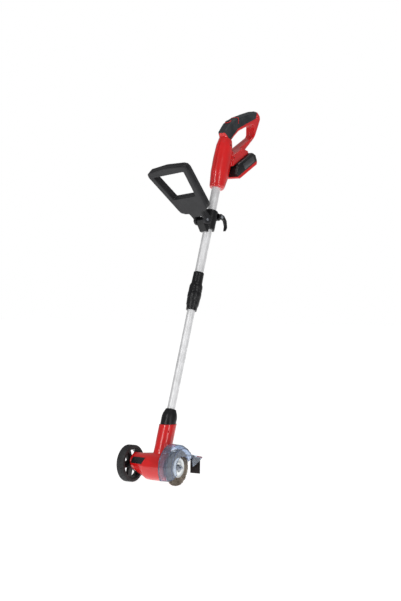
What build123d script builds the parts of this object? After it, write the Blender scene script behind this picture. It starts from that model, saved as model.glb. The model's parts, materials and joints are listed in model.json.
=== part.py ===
from build123d import *
import math
import os

# Battery joint brush on a telescopic shaft.  Millimetres, +Z up.
# +X runs from the guide wheel to the brush, +Y points back towards the user.
# The origin is the free end of the brush spindle.

# ---- driving dimensions -----------------------------------------------------------------
SHAFT_X = -75.0            # the shaft's centre plane
LEAN = 20.0                # shaft leans back from vertical, degrees
LOWER_R, UPPER_R, TUBE_WALL = 11.0, 12.5, 1.2
WALL = 2.5                 # moulded wall thickness

SPINDLE_R, SPINDLE_END_R, PILOT_R = 5.0, 4.0, 3.5
PILOT_LENGTH = 6.0
BRUSH_R, BRUSH_DISC_R = 50.0, 26.5
HOOD_R, HOOD_WALL = 61.0, 2.2
FLANGE_LEFT, FLANGE_RIGHT = -28.0, -24.0
DISC_THICK = 1.6
WIRES_LEFT, WIRES_RIGHT = -22.4, -14.4
CORE_R = 16.0
HOOD_FROM, HOOD_TO = 28.0, 211.0      # arc of the hood about the spindle, degrees

GEARBOX_R, GEARBOX_Z = 37.5, -2.5
BARREL_R, BARREL_Z = 25.0, 8.0
MOTOR_R, MOTOR_Z = 18.0, 8.0
MOTOR_LEFT, MOTOR_RIGHT = -146.0, -90.0
MOTOR_SHAFT_R, IDLER_R = 1.6, 2.0
MOTOR_PLATE_RIGHT = -84.0
SPINDLE_PLATE_LEFT, SPINDLE_PLATE_RIGHT = -54.0, -38.5
BEARING_R = 9.5
SCREW_R, SCREW_HEAD_R = 1.6, 3.2
HEAD_LEFT, HEAD_RIGHT = -158.5, -36.0

WHEEL_R, WHEEL_LEFT, WHEEL_RIGHT, WHEEL_Z = 50.6, -184.0, -160.5, 0.6
RIM_R = 41.5
SPOKES = 5

MODULE_1, PINION_1, WHEEL_1 = 0.6, 12, 40
MODULE_2, PINION_2, WHEEL_2 = 0.7, 12, 38
GEAR_GAP = 0.1             # extra centre distance

NECK_R, NECK_TOP_Z = 23.5, 111.0
NUT_LOW, NUT_HIGH = 110.0, 158.0
LOWER_FROM, LOWER_TO = 80.0, 720.0
SLEEVE_LOW, SLEEVE_HIGH = 445.0, 496.0
SOCKET_LOW, SOCKET_HIGH = 497.0, 557.0
UPPER_FROM, UPPER_TO = 500.0, 880.0

CLAMP_S, CLAMP_TURN = 697.0, -12.8    # clamp's place on the shaft and its turn about it
LOOP_PITCH = 27.2
BAR_AT, BASE_AT, BAR_HALF, BASE_HALF = 220.0, 72.0, 80.0, 58.0
GAP_FAR, GAP_NEAR, GAP_FAR_HALF, GAP_NEAR_HALF = 201.0, 117.0, 61.0, 45.0
LOOP_HALF = 11.0
PIVOT_Y, PIVOT_Z, PIVOT_R = -29.0, 8.0, 4.0
BOLT_Y, BOLT_Z, BOLT_R = 25.0, 38.0, 3.0

HANDLE_FROM = 816.0
GRIP_HALF = 15.0
SKIN = 2.2                 # thickness of the soft grip
BATTERY_Y, BATTERY_Z, BATTERY_TILT = 339.0, 799.5, 27.5
BATTERY_LONG, BATTERY_TALL, BATTERY_HALF = 118.0, 34.0, 37.0

SHAFT = Location((SHAFT_X, 0, 0), (-LEAN, 0, 0))      # local Z runs up the shaft
CLAMP = SHAFT * Pos(0, 0, CLAMP_S) * Rot(0, 0, CLAMP_TURN)
LOOP = CLAMP * Rot(-LOOP_PITCH, 0, 0)
BATTERY = Location((SHAFT_X, BATTERY_Y, BATTERY_Z), (BATTERY_TILT, 0, 0))


# ---- helpers ------------------------------------------------------------------------------
def rod(x0, x1, radius, y=0.0, z=0.0, bore=0.0):
    """A cylinder or ring along X."""
    body = Pos((x0 + x1) / 2, y, z) * Rot(0, 90, 0) * Cylinder(radius, x1 - x0)
    if bore:
        body -= Pos((x0 + x1) / 2, y, z) * Rot(0, 90, 0) * Cylinder(bore, x1 - x0 + 2)
    return body


def post(z0, z1, radius, bore=0.0, x=0.0, y=0.0):
    """A cylinder or ring along the local Z."""
    body = Pos(x, y, (z0 + z1) / 2) * Cylinder(radius, z1 - z0)
    if bore:
        body -= Pos(x, y, (z0 + z1) / 2) * Cylinder(bore, z1 - z0 + 2)
    return body


def block(x0, x1, y0, y1, z0, z1):
    return Pos((x0 + x1) / 2, (y0 + y1) / 2, (z0 + z1) / 2) * Box(x1 - x0, y1 - y0, z1 - z0)


def turned(points):
    """Revolve an outline of (radius, height) points about the local Z."""
    face = make_face(Polyline(*[(r, 0, h) for r, h in points], close=True))
    return revolve(face, Axis.Z)


def side_face(points):
    """A closed face in the YZ plane from (y, z) points."""
    return make_face(Polyline(*[(0, y, z) for y, z in points], close=True))


def side_slab(points, half, x=SHAFT_X):
    """A slab with a (y, z) outline, symmetric about the plane at x."""
    face = Pos(x - half, 0, 0) * side_face(points)
    return extrude(face, amount=2 * half, dir=(1, 0, 0))


def gear(teeth, module, x0, x1, y, z, bore, turn=0.0):
    """A spur gear along X with straight-sided teeth thinned for backlash."""
    root, tip = module * (teeth / 2 - 1.2), module * (teeth / 2 + 0.95)
    step = 2 * math.pi / teeth
    points = []
    for tooth in range(teeth):
        mid = tooth * step + math.radians(turn)
        for radius, share in ((root, -0.33), (tip, -0.10), (tip, 0.10), (root, 0.33)):
            angle = mid + share * step
            points.append((y + radius * math.cos(angle), z + radius * math.sin(angle)))
    body = extrude(Pos(x0, 0, 0) * side_face(points), amount=x1 - x0, dir=(1, 0, 0))
    return body - rod(x0 - 1, x1 + 1, bore, y, z)


def ribbed(low, high, radius, count, depth, width):
    """Ribs round a local Z sleeve, to be cut or added."""
    ribs = []
    for index in range(count):
        ribs.append(Rot(0, 0, index * 360 / count) * block(
            radius - depth, radius + depth, -width / 2, width / 2, low, high))
    return Compound(ribs)


def idler_centre():
    """Where the idler shaft stands, from the two centre distances."""
    first = MODULE_1 * (PINION_1 + WHEEL_1) / 2 + GEAR_GAP
    second = MODULE_2 * (PINION_2 + WHEEL_2) / 2 + GEAR_GAP
    z = (second ** 2 - first ** 2 + MOTOR_Z ** 2) / (2 * MOTOR_Z)
    return -math.sqrt(second ** 2 - z ** 2), z


IDLER_Y, IDLER_Z = idler_centre()


def mesh_turn(y0, z0, y1, z1, teeth0, turn0, teeth1):
    """Turn of gear 1, so that its gap meets a tooth of gear 0."""
    toward = math.degrees(math.atan2(z1 - z0, y1 - y0))
    phase = (toward - turn0) / (360 / teeth0)
    offset = phase - math.floor(phase)
    return toward + 180 + (offset + 0.5) * 360 / teeth1


# ---- motor head ---------------------------------------------------------------------------
def head_solid(inset):
    """Outside of the housing, or its cavity when inset by the wall."""
    stations = [
        (HEAD_LEFT + inset * 1.6, BARREL_R - 3, BARREL_Z),
        (HEAD_LEFT + 5, BARREL_R, BARREL_Z),
        (-134, BARREL_R + 4, BARREL_Z - 5),
        (-108, GEARBOX_R - 1, GEARBOX_Z),
        (-92, GEARBOX_R, GEARBOX_Z),
    ]
    rings = []
    for x, radius, z in stations:
        rings.append(Location((x, 0, z), (0, 90, 0)) * Circle(radius - inset))
    barrel = loft([ring.face() for ring in rings], ruled=True)
    gearbox = rod(-92, HEAD_RIGHT - inset, GEARBOX_R - inset, 0, GEARBOX_Z)
    neck_top = 78.0 if inset else 130.0
    neck = SHAFT * post(0, neck_top, NECK_R - inset)
    neck -= block(-150, 0, -60, 100, NECK_TOP_Z, 200)
    return barrel + gearbox + neck


def housing_shells():
    shell = head_solid(0) - head_solid(WALL)
    shell -= SHAFT * post(70, 140, LOWER_R)
    shell -= SHAFT * post(NUT_LOW - 1, 150, NECK_R - 1.8)
    shell -= rod(HEAD_RIGHT - WALL - 2, HEAD_RIGHT + 1, 16.0)
    shell -= rod(HEAD_LEFT - 2, HEAD_LEFT + 12, 4.0, 0, WHEEL_Z)
    for level in (-8, -15, -22, -29):
        shell -= block(-100, HEAD_RIGHT - 8, -45, -GEARBOX_R * 0.72 - 10, level - 0.6, level + 0.6) \
            & rod(-120, 0, GEARBOX_R + 2, 0, GEARBOX_Z) - rod(-120, 0, GEARBOX_R - 0.9, 0, GEARBOX_Z)
    for side in (-1, 1):
        for level in (44, 50, 56):
            shell -= SHAFT * block(side * 16 - 5, side * 16 + 5, -26, 26, level, level + 2.4) \
                & SHAFT * post(30, 70, NECK_R + 1, NECK_R - 1.2)
    for x, s in ((-17, 92), (17, 92)):
        shell -= SHAFT * Pos(x, 0, s) * Rot(90, 0, 0) * Cylinder(SCREW_R, 80)
    half = SHAFT * block(-120, 120, -200, 0, -200, 250)
    return shell & half, shell - half


def housing_screws():
    screws = []
    for x in (-17, 17):
        stem = Pos(x, 5, 92) * Rot(90, 0, 0) * Cylinder(SCREW_R, 18)
        screws.append(SHAFT * stem)
    return Compound(screws)


def badge():
    """Slanted plate that follows the barrel's front."""
    outline = make_face(Polyline((-153, 0, 6), (-110, 0, 6), (-102, 0, 23), (-147, 0, 23), close=True))
    prism = extrude(outline, amount=60, dir=(0, -1, 0))
    outer = Pos(0, -0.8, 0) * head_solid(0)
    return prism & outer - head_solid(0)


def gearbox_plate(x0, x1, spindle_bore):
    plate = rod(x0, x1, GEARBOX_R - WALL, 0, GEARBOX_Z)
    plate -= rod(x0 - 1, x1 + 1, IDLER_R, IDLER_Y, IDLER_Z)
    if spindle_bore:
        plate -= rod(x0 - 1, x1 + 1, spindle_bore)
    else:
        plate -= rod(x0 - 1, x1 + 1, 7.0, 0, MOTOR_Z)
    return plate


def build_head():
    front, rear = housing_shells()
    nodes = {"head_shell_front": front, "head_shell_rear": rear}
    nodes["head_shell_screws"] = housing_screws()
    nodes["badge_plate"] = badge()
    nodes["motor_plate"] = gearbox_plate(MOTOR_RIGHT, MOTOR_PLATE_RIGHT, 0)
    nodes["spindle_plate"] = gearbox_plate(SPINDLE_PLATE_LEFT, SPINDLE_PLATE_RIGHT, BEARING_R)
    shaft_hole = MOTOR_SHAFT_R + 0.05
    motor_tube = rod(MOTOR_LEFT, MOTOR_RIGHT, MOTOR_R, 0, MOTOR_Z, MOTOR_R - 1.5)
    motor_nose = rod(MOTOR_RIGHT - 4, MOTOR_RIGHT, MOTOR_R - 1.5, 0, MOTOR_Z, shaft_hole)
    nodes["motor_case"] = motor_tube + motor_nose
    nodes["motor_end_cap"] = rod(MOTOR_LEFT - 4, MOTOR_LEFT, MOTOR_R, 0, MOTOR_Z, shaft_hole)
    nodes["rotor"] = rod(MOTOR_LEFT + 10, MOTOR_RIGHT - 10, 14.0, 0, MOTOR_Z, MOTOR_SHAFT_R)
    nodes["commutator"] = rod(MOTOR_LEFT + 3, MOTOR_LEFT + 8, 6.0, 0, MOTOR_Z, MOTOR_SHAFT_R)
    nodes["motor_shaft"] = rod(MOTOR_LEFT - 3, MOTOR_RIGHT + 20, MOTOR_SHAFT_R, 0, MOTOR_Z)
    turn = 0.0
    nodes["motor_pinion"] = gear(PINION_1, MODULE_1, -80, -71, 0, MOTOR_Z, MOTOR_SHAFT_R, turn)
    big = mesh_turn(0, MOTOR_Z, IDLER_Y, IDLER_Z, PINION_1, turn, WHEEL_1)
    idler_gear = gear(WHEEL_1, MODULE_1, -79, -72, IDLER_Y, IDLER_Z, IDLER_R + 0.05, big)
    idler_pinion = gear(PINION_2, MODULE_2, -72, -56, IDLER_Y, IDLER_Z, IDLER_R + 0.05, 0.0)
    nodes["idler_gear"] = idler_gear + idler_pinion
    nodes["idler_shaft"] = rod(MOTOR_RIGHT, SPINDLE_PLATE_RIGHT, IDLER_R, IDLER_Y, IDLER_Z)
    last = mesh_turn(IDLER_Y, IDLER_Z, 0, 0, PINION_2, 0.0, WHEEL_2)
    nodes["output_gear"] = gear(WHEEL_2, MODULE_2, -67, -57, 0, 0, SPINDLE_R, last)
    nodes["spindle_bearings"] = Compound([
        rod(-53.5, -47.5, BEARING_R, bore=SPINDLE_R + 0.05),
        rod(-45, -39, BEARING_R, bore=SPINDLE_R + 0.05)])
    return nodes


# ---- brush and hood -----------------------------------------------------------------------
def brush_disc(x0, x1, ring):
    disc = rod(x0, x1, BRUSH_DISC_R, bore=SPINDLE_END_R)
    if ring:
        disc += rod(x1, x1 + DISC_THICK, 15.0, bore=11.5)
        disc += rod(x1, x1 + 0.8, BRUSH_DISC_R, bore=BRUSH_DISC_R - 1.6)
    return disc


def hex_nut(x0, x1, across, bore):
    nut = extrude(Location((x0, 0, 0), (0, 90, 0)) * RegularPolygon(across / 2, 6, major_radius=False),
                  amount=x1 - x0)
    return nut - rod(x0 - 1, x1 + 1, bore)


def build_brush():
    spindle = rod(-69, FLANGE_LEFT, SPINDLE_R) + rod(FLANGE_LEFT, -PILOT_LENGTH, SPINDLE_END_R)
    spindle += rod(-PILOT_LENGTH, 0, PILOT_R)
    return {
        "spindle": spindle,
        "inner_flange": rod(FLANGE_LEFT, FLANGE_RIGHT, 12.0, bore=SPINDLE_END_R),
        "brush_disc_inner": brush_disc(FLANGE_RIGHT, WIRES_LEFT, False),
        "brush_wires": rod(WIRES_LEFT, WIRES_RIGHT, BRUSH_R, bore=CORE_R),
        "brush_core": rod(WIRES_LEFT, WIRES_RIGHT, CORE_R, bore=SPINDLE_END_R),
        "brush_disc_outer": brush_disc(WIRES_RIGHT, WIRES_RIGHT + DISC_THICK, True),
        "spindle_nut": hex_nut(WIRES_RIGHT + DISC_THICK, -6.4, 15.0, SPINDLE_END_R),
    }


def hood_arc(profile):
    """Revolve an (x, radius) profile about the spindle over the hood's arc."""
    face = make_face(Polyline(*[(x, r, 0) for x, r in profile], close=True))
    start = Rot(HOOD_FROM, 0, 0) * face
    return revolve(start, Axis.X, HOOD_TO - HOOD_FROM)


def hood():
    wall = HOOD_WALL
    profile = [
        (-35.5, 18.0), (-35.5, HOOD_R + 1), (-12.0, HOOD_R), (-3.0, HOOD_R - 4.5), (2.5, HOOD_R - 9),
        (2.5, 31.0), (0.3, 31.0), (0.3, HOOD_R - 10), (-4.2, HOOD_R - 6.5), (-12.6, HOOD_R - wall),
        (-33.3, HOOD_R + 1 - wall), (-33.3, 18.0),
    ]
    shell = hood_arc(profile)
    lip = side_slab([(52.0, 30.0), (93.0, 20.5), (93.0, 16.5), (84.0, 18.5), (55.0, 26.5)], 19.0, -16.5)
    cheek = side_slab([(54.0, 27.0), (92.0, 17.5), (84.0, 13.0), (48.0, -2.0), (44.0, 14.0)], 1.1, 1.4)
    inner_cheek = Pos(-35.8, 0, 0) * cheek
    return shell + lip + cheek + inner_cheek - Compound(hood_screw_holes())


HOOD_SCREW_ANGLES = (60.0, 120.0, 180.0)


def hood_screw_place(angle):
    reach = 27.0
    return reach * math.cos(math.radians(angle)), reach * math.sin(math.radians(angle)) + GEARBOX_Z


def hood_screw_holes():
    return [rod(-37, -30, SCREW_R, *hood_screw_place(angle)) for angle in HOOD_SCREW_ANGLES]


def hood_screws():
    screws = []
    for angle in HOOD_SCREW_ANGLES:
        y, z = hood_screw_place(angle)
        screws.append(rod(HEAD_RIGHT, -33.3, SCREW_R, y, z) + rod(-33.3, -31.3, SCREW_HEAD_R, y, z))
    return Compound(screws)


def flap():
    sheet = side_slab([(85.0, 18.0), (87.6, 17.6), (86.6, -25.0), (84.0, -25.0)], 15.4, -16.5)
    for index in range(8):
        x = -30.5 + index * 4.0
        sheet += Pos(x, 84.0, -5.0) * Box(1.2, 1.0, 34.0)
    return sheet


def build_hood():
    guard = hood()
    rubber = flap() - guard
    return {
        "guard_hood": guard,
        "guard_screws": hood_screws(),
        "rear_flap": rubber,
    }


# ---- guide wheel --------------------------------------------------------------------------
def tyre():
    ring = rod(WHEEL_LEFT, WHEEL_RIGHT, WHEEL_R, 0, WHEEL_Z, RIM_R)
    for edge in (WHEEL_LEFT, WHEEL_RIGHT):
        ring -= rod(edge - 1.5, edge + 1.5, WHEEL_R + 1, 0, WHEEL_Z, WHEEL_R - 1.5)
    count = 30
    cuts = []
    for index in range(count):
        angle = index * 360 / count
        for side in (-1, 1):
            shape = Pos(side * 5.5, 0, WHEEL_R) * Rot(0, 0, side * 25) * Box(9.0, 2.0, 2.4)
            cuts.append(Pos((WHEEL_LEFT + WHEEL_RIGHT) / 2, 0, WHEEL_Z) * Rot(angle + side * 3, 0, 0) * shape)
    return ring - Compound(cuts)


def rim():
    x0, x1 = WHEEL_LEFT + 3, WHEEL_RIGHT - 2
    ring = rod(x0, x1, RIM_R, 0, WHEEL_Z, RIM_R - 3.0)
    hub = rod(x0, x1, 12.0, 0, WHEEL_Z)
    spokes = []
    for index in range(SPOKES):
        arm = block(x0 + 4, x1 - 6, -9, 9, 10, RIM_R - 1.5)
        spokes.append(Pos(0, 0, WHEEL_Z) * Rot(20 + index * 360 / SPOKES, 0, 0) * arm)
    body = ring + hub
    for arm in spokes:
        body += arm
    return body - rod(x0 - 1, x1 + 1, 4.05, 0, WHEEL_Z)


def build_wheel():
    rim_right = WHEEL_RIGHT - 2
    rim_left = WHEEL_LEFT + 3
    cap = rod(rim_left - 2.8, rim_left - 0.3, 9.0, 0, WHEEL_Z)
    return {
        "tyre": tyre(),
        "wheel_rim": rim(),
        "wheel_washer": rod(rim_right + 0.3, HEAD_LEFT, 8.0, 0, WHEEL_Z, 4.0),
        "axle_bolt": rod(rim_left - 0.3, HEAD_LEFT + 8, 4.0, 0, WHEEL_Z) + cap,
    }


# ---- shaft --------------------------------------------------------------------------------
def lock_nut():
    low, high = NUT_LOW, NUT_HIGH
    bore = LOWER_R + 0.35
    outline = [
        (bore, low), (20.5, low), (21.2, low + 8), (21.2, low + 27), (19.4, low + 36),
        (15.6, high - 3), (14.6, high), (bore, high)]
    return turned(outline) - ribbed(low + 18, low + 33, 21.7, 18, 0.8, 2.2)


def lock_sleeve():
    low, high = SLEEVE_LOW, SLEEVE_HIGH
    outline = [
        (LOWER_R + 0.35, low), (15.0, low), (15.5, low + 10), (17.6, low + 16), (18.4, low + 36),
        (19.2, low + 39), (19.2, high), (14.3, high), (14.3, low + 8), (LOWER_R + 0.35, low + 8)]
    return turned(outline) - ribbed(low + 14, low + 36, 18.8, 14, 1.1, 3.0)


def collet():
    ring = post(SLEEVE_LOW + 8.5, SLEEVE_LOW + 28, 13.9, LOWER_R + 0.3)
    for index in range(3):
        ring -= Rot(0, 0, index * 120 + 20) * block(5, 20, -0.8, 0.8, SLEEVE_LOW + 6, SLEEVE_LOW + 22)
    return ring


def shaft_socket():
    low, high = SOCKET_LOW, SOCKET_HIGH
    outline = [
        (LOWER_R + 0.3, SLEEVE_LOW + 28), (13.9, SLEEVE_LOW + 28), (13.9, low), (18.6, low), (18.6, low + 18),
        (17.8, low + 22), (15.4, low + 27), (14.7, high), (UPPER_R, high), (UPPER_R, UPPER_FROM),
        (LOWER_R + 0.3, UPPER_FROM)]
    return turned(outline) - ribbed(low + 3, low + 16, 18.9, 14, 0.9, 3.0)


def build_shaft():
    return {
        "shaft_lock_nut": SHAFT * lock_nut(),
        "lower_tube": SHAFT * post(LOWER_FROM, LOWER_TO, LOWER_R, LOWER_R - TUBE_WALL),
        "telescope_lock_sleeve": SHAFT * lock_sleeve(),
        "telescope_collet": SHAFT * collet(),
        "telescope_socket": SHAFT * shaft_socket(),
        "upper_tube": SHAFT * post(UPPER_FROM, UPPER_TO, UPPER_R, UPPER_R - TUBE_WALL),
        "shaft_cable": SHAFT * post(UPPER_TO - 60, UPPER_TO + 10, 3.0),
    }


# ---- auxiliary handle ---------------------------------------------------------------------
def loop_outline():
    """Plan of the loop: a trapezoid that narrows to a neck at the clamp."""
    half = [
        (0, -BAR_AT - 5), (BAR_HALF - 14, -BAR_AT), (BAR_HALF - 3, -BAR_AT + 5), (BAR_HALF, -BAR_AT + 16),
        (BASE_HALF, -BASE_AT - 8), (BASE_HALF - 6, -BASE_AT + 4), (BASE_HALF - 18, -BASE_AT + 10),
        (25, -BASE_AT + 12), (22.5, -48), (22.5, -16)]
    points = half + [(-x, y) for x, y in reversed(half) if x]
    return make_face(Polyline(*[(x, y) for x, y in points], close=True))


def loop_gap():
    points = [
        (-GAP_FAR_HALF, -GAP_FAR), (GAP_FAR_HALF, -GAP_FAR),
        (GAP_NEAR_HALF, -GAP_NEAR), (-GAP_NEAR_HALF, -GAP_NEAR)]
    return make_face(Polyline(*points, close=True))


def loop_pivot_place():
    """The pivot's place in the loop's own frame."""
    pitch = math.radians(LOOP_PITCH)
    y = PIVOT_Y * math.cos(pitch) - PIVOT_Z * math.sin(pitch)
    z = PIVOT_Y * math.sin(pitch) + PIVOT_Z * math.cos(pitch)
    return y, z


def loop_solid():
    body = extrude(loop_outline(), amount=LOOP_HALF, both=True)
    rim_edges = body.edges().filter_by(GeomType.LINE).filter_by(lambda e: abs(e.center().Z) > LOOP_HALF - 0.1)
    far_edges = rim_edges.filter_by(lambda e: e.center().Y < -BASE_AT - 2)
    body = fillet(far_edges, 4.0)
    body -= extrude(loop_gap(), amount=30, both=True)
    return body


def loop_screw_places():
    return [(-64, -205), (22, -206), (58, -160), (44, -84), (0, -58)]


def build_loop():
    body = loop_solid()
    inner = extrude(offset(loop_outline(), -3.0), amount=LOOP_HALF - 3.0, both=True)
    inner &= block(-100, 100, -300, -52, -20, 20)
    ring = extrude(offset(loop_gap(), 3.0), amount=30, both=True)
    body -= inner - ring
    body -= block(-14.8, 14.8, -46, 20, -40, 40)
    y, z = loop_pivot_place()
    for side in (-1, 1):
        cheek = Pos(side * 18.65, y, z) * Rot(0, 90, 0) * Cylinder(12.0, 7.7)
        body += cheek
    body -= Pos(0, y, z) * Rot(0, 90, 0) * Cylinder(PIVOT_R + 0.05, 60)
    body -= Rot(LOOP_PITCH, 0, 0) * post(-80, 90, 24.5)
    screws = []
    for x, along in loop_screw_places():
        hole = post(-7.0, 40, 1.7, x=x, y=along)
        body -= hole
        screws.append(post(-7.0, LOOP_HALF - 3, 1.7, x=x, y=along))
    upper_half = block(-150, 150, -400, 100, 0, 80)
    lower_half = block(-150, 150, -400, 100, -80, 0)
    return {
        "loop_shell_upper": LOOP * (body & upper_half),
        "loop_shell_lower": LOOP * (body & lower_half),
        "loop_screws": LOOP * Compound(screws),
        "loop_pivot_pin": CLAMP * Pos(0, PIVOT_Y, PIVOT_Z) * Rot(0, 90, 0) * Cylinder(PIVOT_R, 47.0),
    }


def clamp_band():
    band = post(-10, 48, 19.0)
    wedge = side_slab([(-8, -20), (-16, -20), (-30, -6), (-37, 6), (-35, 16), (-22, 24), (-8, 30)], 14.0, 0)
    ears = side_slab([(8, 28), (8, 48), (28, 48), (33, 42), (33, 32), (28, 28)], 9.5, 0)
    body = band + wedge + ears
    body -= post(-30, 60, UPPER_R + 0.3)
    body -= block(-2.0, 2.0, 8, 40, -30, 60)
    body -= Pos(0, PIVOT_Y, PIVOT_Z) * Rot(0, 90, 0) * Cylinder(PIVOT_R, 40)
    body -= Pos(0, BOLT_Y, BOLT_Z) * Rot(0, 90, 0) * Cylinder(BOLT_R, 40)
    return body


def clamp_lever():
    """Cam lever on the bolt: a boss with a curved arm that hangs behind the clamp."""
    boss = Pos(14.5, BOLT_Y, BOLT_Z) * Rot(0, 90, 0) * Cylinder(8.0, 9.0)
    outline = [
        (BOLT_Y - 4, BOLT_Z + 8), (BOLT_Y + 10, BOLT_Z + 7), (BOLT_Y + 23, BOLT_Z - 4),
        (BOLT_Y + 30, BOLT_Z - 22),
        (BOLT_Y + 27, BOLT_Z - 34), (BOLT_Y + 24, BOLT_Z - 34), (BOLT_Y + 23, BOLT_Z - 20),
        (BOLT_Y + 15, BOLT_Z - 7), (BOLT_Y + 4, BOLT_Z - 4)]
    arm = side_slab(outline, 4.5, 14.5)
    body = boss + arm
    return body - Pos(14.5, BOLT_Y, BOLT_Z) * Rot(0, 90, 0) * Cylinder(BOLT_R + 0.05, 12)


def build_clamp():
    bolt = Pos(3.0, BOLT_Y, BOLT_Z) * Rot(0, 90, 0) * Cylinder(BOLT_R, 33.0)
    bolt += Pos(20.5, BOLT_Y, BOLT_Z) * Rot(0, 90, 0) * Cylinder(5.0, 2.4)
    nut = Pos(-12.2, BOLT_Y, BOLT_Z) * Rot(0, 90, 0) * extrude(RegularPolygon(5.5, 6), amount=2.6, both=True)
    nut -= Pos(-12.2, BOLT_Y, BOLT_Z) * Rot(0, 90, 0) * Cylinder(BOLT_R, 12)
    return {
        "clamp_band": CLAMP * clamp_band(),
        "clamp_bolt": CLAMP * bolt,
        "clamp_nut": CLAMP * nut,
        "clamp_lever": CLAMP * clamp_lever(),
    }


# ---- rear handle --------------------------------------------------------------------------
OUTER = [
    (318, 905), (307, 932), (331, 957), (352, 969), (377, 980), (425, 995), (468, 1007), (486, 1006),
    (498, 996), (500, 984), (487, 960), (472, 934), (464, 924), (408, 881), (372, 861), (340, 848), (318, 850)]
FINGER_GAP = [
    (326, 904), (345, 876), (352, 874), (456, 928), (462, 936), (463, 960), (456, 966), (423, 957),
    (378, 940)]
SOFT_TOP = [
    (280, 934), (306, 931), (324, 912), (330, 908), (374, 946), (423, 966), (470, 984), (478, 1000),
    (480, 1030), (280, 1030)]


def grip_ring(inset):
    outline = make_face(Polyline(*OUTER, close=True))
    gap = make_face(Polyline(*FINGER_GAP, close=True))
    if inset:
        outline = offset(outline, -inset, kind=Kind.INTERSECTION)
        gap = offset(gap, inset, kind=Kind.INTERSECTION)
    half = GRIP_HALF - inset
    outer = extrude(outline, amount=half, both=True)
    rims = outer.edges().filter_by(lambda e: abs(abs(e.center().Z) - half) < 0.1)
    outer = chamfer(rims, 4.5 - inset * 0.6)
    ring = outer - extrude(gap, amount=40, both=True)
    return Pos(SHAFT_X, 0, 0) * (Plane.YZ * ring)


def handle_body(inset):
    """Lofted lower body that holds the tube."""
    stations = [
        (HANDLE_FROM + 6 * inset, 19.5, 20.0, 1.0), (HANDLE_FROM + 6 + 6 * inset, 21.5, 23.0, 2.0),
        (862, 24.5, 31.0, 2.5), (905, 25.0, 31.0, 1.5), (945, 22.5, 27.0, -1.5), (968 - inset, 18.5, 20.5, -3.0)]
    faces = []
    for s, half_x, half_n, centre in stations:
        section = Pos(0, centre, s) * Ellipse(half_x - inset, half_n - inset)
        faces.append((SHAFT * section).face())
    return loft(faces, ruled=True)


def foot(inset):
    """Wedge between the loop and the battery."""
    half = 27.0 - inset
    points = [
        (4 + inset, BATTERY_TALL + 0.5), (100 - inset, BATTERY_TALL + 0.5), (100 - inset, 42 - inset),
        (78 - inset, 60 - inset), (20 + inset, 62 - inset)]
    return BATTERY * side_slab(points, half, 0)


def inner_space():
    """What the switch, trigger and wires leave empty inside the grip."""
    ring = grip_ring(SKIN + 2.4)
    limit = side_slab([(318, 935), (345, 955), (460, 992), (440, 960), (378, 948), (326, 915)], 30)
    return ring & limit


TRIGGER = [(333, 913), (342, 905), (379, 936), (392, 950), (386, 958), (360, 944), (338, 928)]
TRIGGER_PIN = (388.0, 953.0)
BUTTON_PLACE = Location((SHAFT_X, 344.0, 960.0), (32.0, 0, 0))


def build_rear_handle():
    ring = grip_ring(0)
    core = grip_ring(SKIN)
    soft_region = side_slab(SOFT_TOP, 40)
    button_way = BUTTON_PLACE * post(-20, 30, 7.4)
    outside = ring + handle_body(0) + foot(0)
    soft = (ring - core) & soft_region
    soft -= handle_body(0)
    soft -= button_way
    body = outside - soft_region + (core & soft_region) + (handle_body(0) & outside)
    body -= soft
    body -= handle_body(WALL) - SHAFT * post(800, 850, 60)
    body -= foot(3.0) & (BATTERY * block(-40, 40, 10, 60, 30, 55))
    body -= inner_space()
    body -= SHAFT * post(800, UPPER_TO + 0.2, UPPER_R)
    trigger_way = side_slab([(322, 910), (340, 895), (384, 938), (400, 950), (388, 966), (350, 950)], 7.3)
    body -= trigger_way
    body -= button_way
    soft -= trigger_way
    body -= Pos(SHAFT_X, *TRIGGER_PIN) * Rot(0, 90, 0) * Cylinder(2.0, 22)
    places = [(333, 858), (325, 893), (478, 990), (452, 918)]
    screws = []
    for y, z in places:
        stem = Pos(SHAFT_X + 3, y, z) * Rot(0, 90, 0) * Cylinder(1.7, 18)
        body -= Pos(SHAFT_X + 6, y, z) * Rot(0, 90, 0) * Cylinder(1.7, 24)
        body -= Pos(SHAFT_X + 24, y, z) * Rot(0, 90, 0) * Cylinder(3.2, 24)
        screws.append(stem)
    soft -= Compound([Pos(SHAFT_X + 15, y, z) * Rot(0, 90, 0) * Cylinder(3.2, 30) for y, z in places])
    right_half = block(SHAFT_X, SHAFT_X + 90, 200, 600, 700, 1100)
    left_half = block(SHAFT_X - 90, SHAFT_X, 200, 600, 700, 1100)
    trigger = side_slab(TRIGGER, 6.8)
    trigger -= Pos(SHAFT_X, *TRIGGER_PIN) * Rot(0, 90, 0) * Cylinder(2.05, 30)
    switch = side_slab([(398, 956), (424, 966), (421, 978), (395, 968)], 8.0)
    return {
        "handle_shell_right": body & right_half,
        "handle_shell_left": body & left_half,
        "handle_screws": Compound(screws),
        "soft_grip": soft,
        "trigger": trigger,
        "trigger_pin": Pos(SHAFT_X, *TRIGGER_PIN) * Rot(0, 90, 0) * Cylinder(2.0, 22),
        "switch_block": switch & inner_space(),
        "lock_off_button": BUTTON_PLACE * (post(-6, 7.0, 7.0)),
    }


# ---- battery ------------------------------------------------------------------------------
def battery_slab(points, half):
    return BATTERY * side_slab(points, half, 0)


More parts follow.
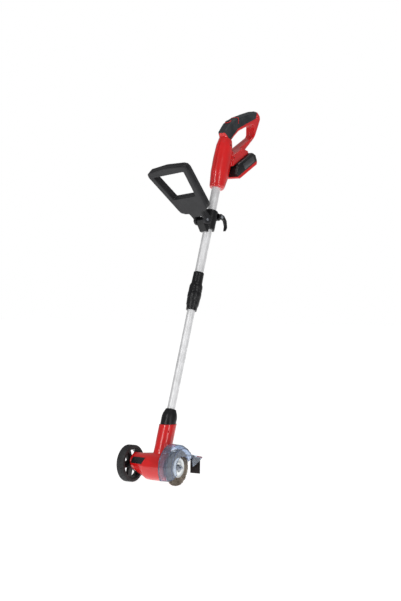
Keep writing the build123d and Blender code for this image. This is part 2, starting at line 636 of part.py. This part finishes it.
def build_battery():
    long, tall, half = BATTERY_LONG, BATTERY_TALL, BATTERY_HALF
    split = 3.0
    lower = battery_slab([(8, -6.5), (long - 6, -6.5), (long, 0), (long, split), (0, split), (2, -2)], half)
    upper = battery_slab([
        (0, split), (long, split), (long, 20), (long - 13, tall), (22, tall), (17, 28), (4, 16)], half)
    top_edges = upper.edges().filter_by(GeomType.LINE).filter_by(lambda e: 60 < e.length < 140)
    side_edges = top_edges.filter_by(lambda e: abs(abs(e.center().X - SHAFT_X) - half) < 0.1)
    upper = chamfer(side_edges.sort_by(Axis.Z)[-2:], 3.0)
    cavity = battery_slab([
        (4, split), (long - 6, split), (long - 6, 18), (long - 17, tall - 3), (24, tall - 3), (8, 16)],
        half - 3)
    upper -= cavity
    upper -= battery_slab([(long - 4, 5.4), (long + 1, 5.4), (long + 1, 18.6), (long - 4, 18.6)], 13.6)
    cells = []
    for index in range(5):
        cells.append(BATTERY * Pos(0, 19.5 + index * 18.5, 13.4) * Rot(0, 90, 0) * Cylinder(9.2, 65.0))
    button = battery_slab([(long - 1.2, 6), (long + 1.8, 6.6), (long + 1.8, 17.4), (long - 1.2, 18)], 13.0)
    label = Pos(half, 0, 0) * battery_slab([(44, 7), (106, 7), (102, 25), (40, 25)], 0.5)
    return {
        "battery_case_upper": upper,
        "battery_case_lower": lower,
        "battery_cells": Compound(cells),
        "battery_release": button,
        "battery_label": Pos(0.5, 0, 0) * label,
    }


def build_rest():
    """The contact block of the foot sits over the battery's top face."""
    return {"contact_block": BATTERY * block(-12, 12, 20, 50, BATTERY_TALL + 3.5, BATTERY_TALL + 12)}


# ---- write --------------------------------------------------------------------------------
def main():
    nodes = {}
    for section in (build_head, build_brush, build_hood, build_wheel, build_shaft, build_loop,
                    build_clamp, build_rear_handle, build_battery, build_rest):
        nodes.update(section())
    os.makedirs("parts", exist_ok=True)
    for name, shape in nodes.items():
        export_step(shape, f"parts/{name}.step")


main()
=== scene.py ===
import bmesh
import bpy
import json
import math
import random
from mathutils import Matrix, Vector
from mathutils.bvhtree import BVHTree


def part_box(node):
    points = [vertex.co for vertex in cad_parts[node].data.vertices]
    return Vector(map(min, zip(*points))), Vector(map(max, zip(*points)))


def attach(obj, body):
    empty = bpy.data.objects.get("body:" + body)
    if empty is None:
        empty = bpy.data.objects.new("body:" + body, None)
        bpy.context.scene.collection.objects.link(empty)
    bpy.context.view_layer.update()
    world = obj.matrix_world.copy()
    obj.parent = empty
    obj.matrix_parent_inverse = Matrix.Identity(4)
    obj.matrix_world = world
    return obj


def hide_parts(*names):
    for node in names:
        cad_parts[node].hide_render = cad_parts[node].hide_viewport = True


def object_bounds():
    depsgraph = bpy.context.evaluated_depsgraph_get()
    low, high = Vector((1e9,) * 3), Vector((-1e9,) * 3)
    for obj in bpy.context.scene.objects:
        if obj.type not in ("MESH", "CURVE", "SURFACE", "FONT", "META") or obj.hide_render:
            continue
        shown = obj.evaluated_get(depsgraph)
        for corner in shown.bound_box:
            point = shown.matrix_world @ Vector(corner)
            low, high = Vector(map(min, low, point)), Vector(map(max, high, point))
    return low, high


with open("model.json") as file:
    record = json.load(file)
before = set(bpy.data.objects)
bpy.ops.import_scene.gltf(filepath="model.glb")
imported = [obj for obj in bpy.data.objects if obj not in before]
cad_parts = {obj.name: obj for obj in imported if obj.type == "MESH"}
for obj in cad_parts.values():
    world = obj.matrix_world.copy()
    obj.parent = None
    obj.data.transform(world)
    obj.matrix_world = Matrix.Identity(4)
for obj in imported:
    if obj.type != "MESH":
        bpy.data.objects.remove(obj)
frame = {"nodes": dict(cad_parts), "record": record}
CAD_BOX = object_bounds()
NODES = frame["nodes"]
BODY_OF = {node: body for body, members in frame["record"]["behaviour"]["bodies"].items() for node in members}
SLOT_OF = {part["node"]: part["material_slot"] for part in frame["record"]["subparts"]}

MM = 0.001
LEAN = math.radians(20.0)                 # the shaft leans back from vertical
SHAFT_X = -0.075                          # the shaft's centre plane
GROUND = CAD_BOX[0][2]
BUTTON_TILT = math.radians(32.0)          # the lock-off button's face
EDGE_ANGLE = math.radians(38)             # edges sharper than this are bevelled

# The clear hood about the spindle: its arc in degrees and its (x, radius) corners in metres
HOOD_FROM, HOOD_TO = 29, 210
HOOD_RIM = (0.0014, 0.0312)
HOOD_SHOULDER = (0.0012, 0.0508)
HOOD_BACK = (-0.0344, 0.0612)
HOOD_PROFILE = (HOOD_RIM, (0.0014, 0.0505), (-0.0030, 0.0555), (-0.0120, 0.0600), HOOD_BACK)
HOOD_BEAD = 0.0009

# Camera: a point that it looks at, its heading, distance and height
AIM = Vector((0.017, 0.062, 0.447))
HEADING = math.radians(34.0)
DISTANCE = 3.65
CAMERA_HEIGHT = 0.480
LIT_POINT = Vector((0, 0.1, 0.5))
LENS, SENSOR_WIDTH = 81.0, 36.0          # millimetres

# The sky is dimmer as a light than as a backdrop, and the floor glows so that it stays pale
SKY_LIGHT, SKY_SEEN, FLOOR_GLOW = 0.26, 1.0, 0.93
FLOOR_HALF, FLOOR_BELOW = 14.0, 0.0005

rng = random.Random(7)


# ---- materials ----------------------------------------------------------------------------
def new_material(name, color, roughness, metallic=0.0, **sockets):
    mat = bpy.data.materials.new(name)
    mat.use_nodes = True
    shader = mat.node_tree.nodes["Principled BSDF"]
    shader.inputs["Base Color"].default_value = (*color, 1.0)
    shader.inputs["Roughness"].default_value = roughness
    shader.inputs["Metallic"].default_value = metallic
    for socket, value in sockets.items():
        shader.inputs[socket.replace("_", " ")].default_value = value
    return mat, mat.node_tree, shader


def coordinates(tree, scale=(1, 1, 1), rotation=(0, 0, 0)):
    """The piece's own coordinates, turned first and then stretched."""
    source = tree.nodes.new("ShaderNodeTexCoord")
    turned = tree.nodes.new("ShaderNodeMapping")
    turned.inputs["Rotation"].default_value = rotation
    stretched = tree.nodes.new("ShaderNodeMapping")
    stretched.inputs["Scale"].default_value = scale
    tree.links.new(source.outputs["Object"], turned.inputs["Vector"])
    tree.links.new(turned.outputs["Vector"], stretched.inputs["Vector"])
    return stretched.outputs["Vector"]


def noise(tree, vector, scale, detail=3.0):
    node = tree.nodes.new("ShaderNodeTexNoise")
    node.inputs["Scale"].default_value = scale
    node.inputs["Detail"].default_value = detail
    tree.links.new(vector, node.inputs["Vector"])
    return node.outputs["Fac"]


def ramp(tree, value, low, high, start=0.35, end=0.65):
    node = tree.nodes.new("ShaderNodeValToRGB")
    node.color_ramp.elements[0].position = start
    node.color_ramp.elements[1].position = end
    node.color_ramp.elements[0].color = (*low, 1.0)
    node.color_ramp.elements[1].color = (*high, 1.0)
    tree.links.new(value, node.inputs["Fac"])
    return node.outputs["Color"]


def vary_roughness(tree, shader, value, low, high):
    node = tree.nodes.new("ShaderNodeMapRange")
    node.inputs["To Min"].default_value = low
    node.inputs["To Max"].default_value = high
    tree.links.new(value, node.inputs["Value"])
    tree.links.new(node.outputs["Result"], shader.inputs["Roughness"])


def add_bump(tree, shader, height, strength, distance):
    node = tree.nodes.new("ShaderNodeBump")
    node.inputs["Strength"].default_value = strength
    node.inputs["Distance"].default_value = distance
    tree.links.new(height, node.inputs["Height"])
    tree.links.new(node.outputs["Normal"], shader.inputs["Normal"])


def cells(tree, vector, scale):
    node = tree.nodes.new("ShaderNodeTexVoronoi")
    node.inputs["Scale"].default_value = scale
    tree.links.new(vector, node.inputs["Vector"])
    return node.outputs["Distance"]


def plastic(name, color, darker, rough, grain, strength, coat=0.0, specular=0.5):
    """Moulded plastic: slow colour drift, patchy gloss and a fine moulded grain."""
    mat, tree, shader = new_material(name, color, rough)
    shader.inputs["Coat Weight"].default_value = coat
    shader.inputs["Coat Roughness"].default_value = 0.08
    shader.inputs["Specular IOR Level"].default_value = specular
    vector = coordinates(tree)
    tree.links.new(ramp(tree, noise(tree, vector, 22.0), darker, color), shader.inputs["Base Color"])
    vary_roughness(tree, shader, noise(tree, vector, 60.0), rough * 0.8, rough * 1.25)
    add_bump(tree, shader, noise(tree, vector, grain, 2.0), strength, 0.0003)
    return mat


def metal(name, color, rough, stretch, lean=0.0, strength=0.12):
    """Drawn or turned metal: fine lines along one direction."""
    mat, tree, shader = new_material(name, color, rough, 1.0)
    lines = noise(tree, coordinates(tree, stretch, (lean, 0, 0)), 900.0, 2.0)
    patches = noise(tree, coordinates(tree), 35.0)
    darker = tuple(c * 0.86 for c in color)
    tree.links.new(ramp(tree, patches, darker, color), shader.inputs["Base Color"])
    vary_roughness(tree, shader, lines, rough * 0.7, rough * 1.5)
    add_bump(tree, shader, lines, strength, 0.0001)
    return mat


def rubber(name, color, lighter, dots, strength):
    mat, tree, shader = new_material(name, color, 0.62, Specular_IOR_Level=0.3)
    vector = coordinates(tree)
    tree.links.new(ramp(tree, noise(tree, vector, 40.0), color, lighter), shader.inputs["Base Color"])
    vary_roughness(tree, shader, noise(tree, vector, 90.0), 0.45, 0.75)
    add_bump(tree, shader, cells(tree, vector, dots), strength, 0.0005)
    return mat


def clear_hood(name):
    """Smoke-blue clear plastic with faint scuffs."""
    mat, tree, shader = new_material(name, (0.66, 0.75, 0.90), 0.04, IOR=1.42, Transmission_Weight=0.9)
    vector = coordinates(tree)
    scuffs = noise(tree, coordinates(tree, (1, 6, 1)), 160.0, 4.0)
    tint = ramp(tree, noise(tree, vector, 18.0), (0.56, 0.66, 0.84), (0.74, 0.82, 0.94))
    tree.links.new(tint, shader.inputs["Base Color"])
    vary_roughness(tree, shader, scuffs, 0.02, 0.12)
    add_bump(tree, shader, scuffs, 0.04, 0.0002)
    return mat


def bristle_steel(name):
    mat, tree, shader = new_material(name, (0.2, 0.16, 0.12), 0.42, 0.75)
    speckle = noise(tree, coordinates(tree), 900.0, 3.0)
    tree.links.new(ramp(tree, speckle, (0.05, 0.035, 0.025), (0.50, 0.43, 0.35)), shader.inputs["Base Color"])
    vary_roughness(tree, shader, speckle, 0.3, 0.6)
    return mat


ALONG_SHAFT = (1.0, 1.0, 0.02)
ROUND_SPINDLE = (1.0, 0.05, 0.05)
MATERIALS = {
    "red_plastic": plastic("red_plastic", (0.72, 0.002, 0.003), (0.60, 0.001, 0.002), 0.30, 900.0, 0.05, 0.7),
    "red_trim": plastic("red_trim", (0.72, 0.004, 0.005), (0.6, 0.002, 0.003), 0.3, 900.0, 0.05, 0.2),
    "black_plastic": plastic("black_plastic", (0.009, 0.009, 0.010), (0.005, 0.005, 0.006), 0.3, 1400.0, 0.35,
                             specular=0.35),
    "dark_plastic": plastic("dark_plastic", (0.020, 0.020, 0.022), (0.012, 0.012, 0.014), 0.42, 1600.0, 0.5,
                            specular=0.28),
    "badge": plastic("badge", (0.012, 0.013, 0.016), (0.006, 0.007, 0.008), 0.25, 1200.0, 0.1, 0.3),
    "label": plastic("label", (0.045, 0.046, 0.05), (0.03, 0.03, 0.035), 0.4, 1500.0, 0.2),
    "soft_grip": rubber("soft_grip", (0.014, 0.018, 0.021), (0.03, 0.036, 0.04), 520.0, 0.7),
    "tyre": rubber("tyre", (0.016, 0.016, 0.017), (0.036, 0.036, 0.038), 300.0, 0.4),
    "flap_rubber": rubber("flap_rubber", (0.012, 0.011, 0.011), (0.03, 0.028, 0.028), 420.0, 0.35),
    "tube_alloy": metal("tube_alloy", (0.95, 0.95, 0.96), 0.55, ALONG_SHAFT, LEAN, 0.01),
    "steel": metal("steel", (0.42, 0.44, 0.48), 0.32, ROUND_SPINDLE),
    "zinc_steel": metal("zinc_steel", (0.90, 0.93, 0.93), 0.36, (0.05, 1.0, 1.0)),
    "wire": bristle_steel("wire"),
    "hood_clear": clear_hood("hood_clear"),
    # dark navy for the hood's rolled edges: painted shade standing in for the dark lines the clear hood shows
    # along its edges
    "hood_edge_painted_shade": plastic("hood_edge_painted_shade", (0.16, 0.20, 0.36), (0.10, 0.13, 0.25), 0.15, 600.0, 0.05, 0.5),
    "copper": metal("copper", (0.8, 0.42, 0.25), 0.3, ROUND_SPINDLE),
    "cell_wrap": plastic("cell_wrap", (0.12, 0.33, 0.5), (0.09, 0.27, 0.42), 0.4, 900.0, 0.1),
}


# ---- mesh helpers -------------------------------------------------------------------------
def add_piece(name, mesh, body, slot, material=None, replaced=()):
    piece = bpy.data.objects.new(name, mesh)
    bpy.context.scene.collection.objects.link(piece)
    mesh.materials.clear()
    mesh.materials.append(MATERIALS[material or slot])
    for polygon in mesh.polygons:
        polygon.use_smooth = True
    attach(piece, body)
    if replaced:
        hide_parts(*replaced)
    return piece


def merged_copy(node):
    mesh = bpy.data.meshes.new(node + "_mesh")
    shape = bmesh.new()
    shape.from_mesh(NODES[node].data)
    bmesh.ops.remove_doubles(shape, verts=shape.verts, dist=2e-6)
    shape.to_mesh(mesh)
    shape.free()
    return mesh


def with_modifiers(mesh, setup):
    """The mesh after the modifiers that setup adds to a scratch object."""
    scratch = bpy.data.objects.new("scratch", mesh)
    bpy.context.scene.collection.objects.link(scratch)
    setup(scratch)
    bpy.context.view_layer.update()
    graph = bpy.context.evaluated_depsgraph_get()
    result = bpy.data.meshes.new_from_object(scratch.evaluated_get(graph))
    bpy.data.objects.remove(scratch)
    return result


def soften(node, voxel, passes):
    """Moulded part: its edges are rounded by remeshing and smoothing the CAD shape."""
    def setup(scratch):
        remesh = scratch.modifiers.new("remesh", "REMESH")
        remesh.mode = "VOXEL"
        remesh.voxel_size = voxel * MM
        smooth = scratch.modifiers.new("smooth", "SMOOTH")
        smooth.factor = 0.5
        smooth.iterations = passes
    mesh = with_modifiers(merged_copy(node), setup)
    return add_piece(node + "_skin", mesh, BODY_OF[node], SLOT_OF[node], replaced=(node,))


def ease_edges(node, width):
    """Turned or machined part: a small bevel on its sharp edges."""
    def setup(scratch):
        bevel = scratch.modifiers.new("bevel", "BEVEL")
        bevel.width = width * MM
        bevel.segments = 2
        bevel.limit_method = "ANGLE"
        bevel.angle_limit = EDGE_ANGLE
    mesh = with_modifiers(merged_copy(node), setup)
    piece = add_piece(node + "_eased", mesh, BODY_OF[node], SLOT_OF[node], replaced=(node,))
    mesh.set_sharp_from_angle(angle=EDGE_ANGLE)
    return piece


# ---- brush --------------------------------------------------------------------------------
BRISTLES = 2600
BRISTLE_HALF_WIDTH = 0.00042
BRISTLE_STRETCHES = 3                     # straight lengths in one bristle
BRISTLE_BEND, BRISTLE_UNEVEN = 0.035, 0.0009
BRUSH_ROOT, BRUSH_TIP = 0.0158, 0.0495


def bristle_ring():
    """Wire bristles: bent square prisms that fan out from between the two discs."""
    low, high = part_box("brush_wires")
    middle = (low.x + high.x) / 2
    half = (high.x - low.x) / 2
    shape = bmesh.new()
    for _ in range(BRISTLES):
        angle = rng.uniform(0, 2 * math.pi)
        start = rng.uniform(-0.65, 0.65) * half
        end = max(-0.94, min(0.94, start / half * 1.2 + rng.gauss(0, 0.16))) * half
        drift = rng.gauss(0, BRISTLE_BEND)
        reach = BRUSH_TIP - abs(rng.gauss(0, BRISTLE_UNEVEN))
        rings = []
        for step in range(BRISTLE_STRETCHES + 1):
            share = step / BRISTLE_STRETCHES
            radius = BRUSH_ROOT + (reach - BRUSH_ROOT) * share
            turn = angle + drift * share * share + 0.01 * math.sin(share * 9 + angle * 40)
            out = Vector((0, math.cos(turn), math.sin(turn)))
            side = Vector((0, -math.sin(turn), math.cos(turn)))
            centre = Vector((middle + start + (end - start) * share, 0, 0)) + out * radius
            corners = []
            for dx, ds in ((-1, -1), (1, -1), (1, 1), (-1, 1)):
                point = centre + Vector((dx, 0, 0)) * BRISTLE_HALF_WIDTH + side * ds * BRISTLE_HALF_WIDTH
                corners.append(shape.verts.new(point))
            rings.append(corners)
        for first, second in zip(rings, rings[1:]):
            for index in range(4):
                nxt = (index + 1) % 4
                shape.faces.new((first[index], first[nxt], second[nxt], second[index]))
        shape.faces.new(rings[0][::-1])
        shape.faces.new(rings[-1])
    mesh = bpy.data.meshes.new("bristles")
    shape.to_mesh(mesh)
    shape.free()
    piece = add_piece("brush_bristles", mesh, "brush", "wire", replaced=("brush_wires",))
    for polygon in mesh.polygons:
        polygon.use_smooth = False
    return piece


# ---- small visual pieces ------------------------------------------------------------------
def tube_along(name, points, radius, body, slot, cyclic=False, material=None):
    """A round bead along a smooth line."""
    curve = bpy.data.curves.new(name, "CURVE")
    curve.dimensions = "3D"
    spline = curve.splines.new("NURBS")
    spline.points.add(len(points) - 1)
    for slot_point, point in zip(spline.points, points):
        slot_point.co = (*point, 1.0)
    spline.order_u = 3
    spline.use_cyclic_u = cyclic
    spline.use_endpoint_u = not cyclic
    curve.bevel_depth = radius
    curve.bevel_resolution = 3
    scratch = bpy.data.objects.new(name + "_curve", curve)
    bpy.context.scene.collection.objects.link(scratch)
    bpy.context.view_layer.update()
    mesh = bpy.data.meshes.new_from_object(scratch.evaluated_get(bpy.context.evaluated_depsgraph_get()))
    bpy.data.objects.remove(scratch)
    return add_piece(name, mesh, body, slot, material)


def ring_points(centre, across, up, radius, count=16):
    points = []
    for index in range(count):
        angle = 2 * math.pi * index / count
        points.append(centre + across * radius * math.cos(angle) + up * radius * math.sin(angle))
    return points


def tilted(angle):
    """Directions along and out of a face that rises towards the back by the angle."""
    along = Vector((0, math.cos(angle), math.sin(angle)))
    normal = Vector((0, -math.sin(angle), math.cos(angle)))
    return along, normal


def button_ring():
    """Red bead around the lock-off button."""
    along, normal = tilted(BUTTON_TILT)
    ring_radius, bead, rise = 8.6 * MM, 1.1 * MM, 4.6 * MM
    low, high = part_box("lock_off_button")
    centre = (low + high) / 2 + normal * rise
    points = ring_points(centre, Vector((1, 0, 0)), along, ring_radius)
    tube_along("lock_off_ring", points, bead, "root", "red_trim", cyclic=True)


def hood_point(x, radius, angle):
    turn = math.radians(angle)
    return Vector((x, radius * math.cos(turn), radius * math.sin(turn)))


def hood_beads():
    """Rolled edges of the clear hood: three along its arc and one across each end, coloured dark navy as
    painted shade for the dark lines along the clear hood's edges.
    """
    steps = 24
    for name, corner in (
            ("hood_inner_edge", HOOD_RIM), ("hood_shoulder", HOOD_SHOULDER), ("hood_back_edge", HOOD_BACK)):
        angles = [HOOD_FROM + (HOOD_TO - HOOD_FROM) * i / steps for i in range(steps + 1)]
        points = [hood_point(*corner, angle) for angle in angles]
        tube_along(name, points, HOOD_BEAD, "head", "hood_clear", material="hood_edge_painted_shade")
    for name, angle in (("hood_front_edge", HOOD_TO), ("hood_rear_edge", HOOD_FROM)):
        points = [hood_point(*corner, angle) for corner in HOOD_PROFILE]
        tube_along(name, points, HOOD_BEAD, "head", "hood_clear", material="hood_edge_painted_shade")


def surface_of(node):
    """The CAD node's surface, for finding points on it."""
    shape = bmesh.new()
    shape.from_mesh(NODES[node].data)
    tree = BVHTree.FromBMesh(shape)
    shape.free()
    return tree


def grip_seam():
    """Red bead over the soft grip, just behind the lock-off button."""
    tree = surface_of("soft_grip")
    centre = Vector((SHAFT_X, 0.374, 0.962))
    up = Vector((0, 0.10, 1.0)).normalized()
    reach, rays_each_side, ray_step = 0.1, 10, 9.5
    points = []
    for step in range(-rays_each_side, rays_each_side + 1):
        turn = math.radians(step * ray_step)
        away = up * math.cos(turn) + Vector((1, 0, 0)) * math.sin(turn)
        hit = tree.ray_cast(centre + away * reach, -away, reach)[0]
        if hit is not None:
            points.append(hit)
    tube_along("grip_seam", points, 1.0 * MM, "root", "red_trim")


# ---- build --------------------------------------------------------------------------------
def dress_cad():
    for name, node in NODES.items():
        node.data.materials.clear()
        node.data.materials.append(MATERIALS[SLOT_OF[name]])


def refine():
    for node, voxel, passes in (
            ("handle_shell_left", 1.05, 9), ("handle_shell_right", 1.05, 9), ("soft_grip", 0.9, 8),
            ("head_shell_front", 1.1, 7), ("head_shell_rear", 1.1, 7),
            ("loop_shell_upper", 1.2, 6), ("loop_shell_lower", 1.2, 6),
            ("battery_case_lower", 1.1, 5),
            ("clamp_band", 0.9, 4), ("clamp_lever", 0.7, 5), ("trigger", 0.8, 6), ("tyre", 0.7, 2),
            ("wheel_rim", 0.8, 3)):
        soften(node, voxel, passes)
    for node, width in (
            ("shaft_lock_nut", 0.5), ("telescope_lock_sleeve", 0.5), ("telescope_socket", 0.5),
            ("spindle_nut", 0.5), ("brush_disc_outer", 0.3), ("brush_disc_inner", 0.3), ("spindle", 0.4),
            ("clamp_bolt", 0.4), ("clamp_nut", 0.4), ("axle_bolt", 0.4), ("lock_off_button", 0.9),
            ("battery_release", 0.6), ("rear_flap", 0.25), ("badge_plate", 0.2), ("battery_label", 0.15),
            ("battery_case_upper", 0.9)):
        ease_edges(node, width)


def area_light(name, place, size, power, tall=None):
    """A square light, or an upright strip when tall is given, turned to the middle of the tool."""
    data = bpy.data.lights.new(name, "AREA")
    data.energy = power
    data.size = size
    if tall:
        data.shape = "RECTANGLE"
        data.size_y = tall
    lamp = bpy.data.objects.new(name, data)
    bpy.context.scene.collection.objects.link(lamp)
    lamp.location = place
    lamp.rotation_euler = (LIT_POINT - Vector(place)).to_track_quat("-Z", "Y").to_euler()


def studio():
    shape = bmesh.new()
    bmesh.ops.create_grid(shape, x_segments=8, y_segments=8, size=FLOOR_HALF)
    mesh = bpy.data.meshes.new("floor")
    shape.to_mesh(mesh)
    shape.free()
    floor = bpy.data.objects.new("floor", mesh)
    floor.location = (0, 0, GROUND - FLOOR_BELOW)
    bpy.context.scene.collection.objects.link(floor)
    mat, tree, shader = new_material("floor_white", (0.32, 0.32, 0.32), 0.6)
    shader.inputs["Specular IOR Level"].default_value = 0.1
    shader.inputs["Emission Color"].default_value = (1, 1, 1, 1)
    shader.inputs["Emission Strength"].default_value = FLOOR_GLOW
    mesh.materials.append(mat)
    world = bpy.data.worlds.new("studio")
    world.use_nodes = True
    tree = world.node_tree
    background = tree.nodes["Background"]
    background.inputs["Color"].default_value = (1, 1, 1, 1)
    rays = tree.nodes.new("ShaderNodeLightPath")
    level = tree.nodes.new("ShaderNodeMapRange")
    level.inputs["To Min"].default_value = SKY_LIGHT
    level.inputs["To Max"].default_value = SKY_SEEN
    tree.links.new(rays.outputs["Is Camera Ray"], level.inputs["Value"])
    tree.links.new(level.outputs["Result"], background.inputs["Strength"])
    bpy.context.scene.world = world
    area_light("key", (-0.3, -2.6, 1.3), 0.22, 26, 2.4)
    area_light("side", (2.5, -1.1, 1.2), 0.30, 15, 2.0)
    area_light("top", (0.2, 0.6, 3.0), 1.2, 18)
    bpy.context.scene.view_settings.view_transform = "Standard"


def camera():
    forward = Vector((-math.sin(HEADING), math.cos(HEADING), 0))
    place = AIM - forward * DISTANCE
    place.z = CAMERA_HEIGHT
    data = bpy.data.cameras.new("camera")
    data.lens = LENS
    data.sensor_width = SENSOR_WIDTH
    cam = bpy.data.objects.new("camera", data)
    cam.location = place
    cam.rotation_euler = (AIM - place).to_track_quat("-Z", "Y").to_euler()
    bpy.context.scene.collection.objects.link(cam)
    bpy.context.scene.camera = cam


dress_cad()
refine()
bristle_ring()
button_ring()
hood_beads()
grip_seam()
studio()
camera()
